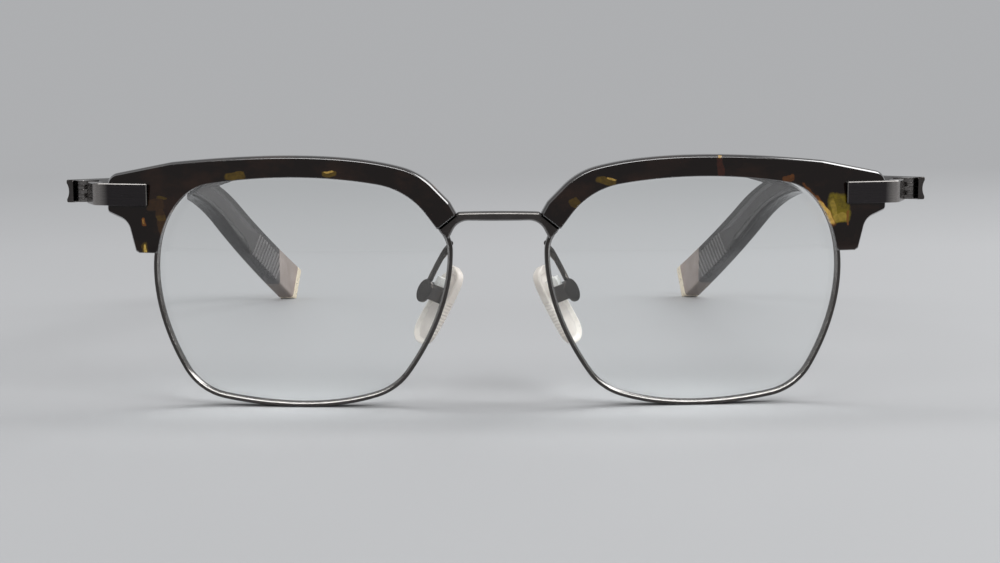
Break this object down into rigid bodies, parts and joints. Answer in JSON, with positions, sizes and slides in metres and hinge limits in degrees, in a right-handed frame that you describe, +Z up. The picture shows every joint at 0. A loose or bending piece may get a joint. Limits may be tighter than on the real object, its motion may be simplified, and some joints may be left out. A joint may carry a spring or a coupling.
{
  "type": "browline eyeglasses",
  "caption": "Browline eyeglasses: tortoise brow bars over thin metal rims with clear lenses, folding metal temples with bent translucent tips, and rocking nose pads.",
  "frame": {"origin": "on the surface the glasses stand on, under the middle of the whole object", "axes": "+X across the glasses towards the side on the right in the picture, +Y from the front back along the temples, +Z up"},
  "size_m": [0.1512, 0.1499, 0.0433],
  "materials": {
    "tortoise": "polished dark tortoise acetate",
    "gunmetal": "satin gunmetal",
    "brushed": "brushed dark steel with polished bevels",
    "screw": "bright",
    "lens": "clear polished",
    "silicone": "frosted",
    "pad_insert": "plain",
    "core_wire": "bright",
    "smoky_acetate": "polished translucent smoky acetate",
    "gold": "satin gold"
  },
  "bodies": {
    "front": {"bridge": "gunmetal", "brow_left": "tortoise", "brow_right": "tortoise", "rim_left": "gunmetal", "rim_right": "gunmetal", "lens_left": "lens", "lens_right": "lens", "rim_lock_left": "gunmetal", "rim_lock_right": "gunmetal", "rim_lock_screw_left": "screw", "rim_lock_screw_right": "screw", "brow_tabs_left": "gunmetal", "brow_tabs_right": "gunmetal", "brow_screws_left": "screw", "brow_screws_right": "screw", "end_piece_left": "brushed", "end_piece_right": "brushed", "end_piece_screws_left": "screw", "end_piece_screws_right": "screw", "front_hinge_left": "brushed", "front_hinge_right": "brushed", "hinge_screw_left": "screw", "hinge_screw_right": "screw", "pad_arm_left": "gunmetal", "pad_arm_right": "gunmetal", "pad_box_left": "gunmetal", "pad_box_right": "gunmetal", "pad_screw_left": "screw", "pad_screw_right": "screw"},
    "temple_left": {"temple_hinge_left": "brushed", "temple_bar_left": "gunmetal", "temple_core_left": "core_wire", "tip_sleeve_left": "smoky_acetate", "tip_cap_left": "gold"},
    "pad_left": {"pad_core_left": "pad_insert", "nose_pad_left": "silicone"},
    "temple_right": {"temple_hinge_right": "brushed", "temple_bar_right": "gunmetal", "temple_core_right": "core_wire", "tip_sleeve_right": "smoky_acetate", "tip_cap_right": "gold"},
    "pad_right": {"pad_core_right": "pad_insert", "nose_pad_right": "silicone"}
  },
  "joints": [
    {"name": "temple_left_fold", "type": "hinge", "parent": "front", "child": "temple_left", "pos_m": [-0.07307, -0.06196, 0.0368], "axis": [0, 0, -1], "range_deg": [0, 81]},
    {"name": "temple_right_fold", "type": "hinge", "parent": "front", "child": "temple_right", "pos_m": [0.07307, -0.06196, 0.0368], "axis": [0, 0, 1], "range_deg": [0, 75]},
    {"name": "pad_left_rock", "type": "hinge", "parent": "front", "child": "pad_left", "pos_m": [-0.0112, -0.06611, 0.0191], "axis": [0.4455, -0.866, -0.227], "range_deg": [-8, 8]},
    {"name": "pad_right_rock", "type": "hinge", "parent": "front", "child": "pad_right", "pos_m": [0.0112, -0.06611, 0.0191], "axis": [0.4455, 0.866, 0.227], "range_deg": [-8, 8]}
  ]
}
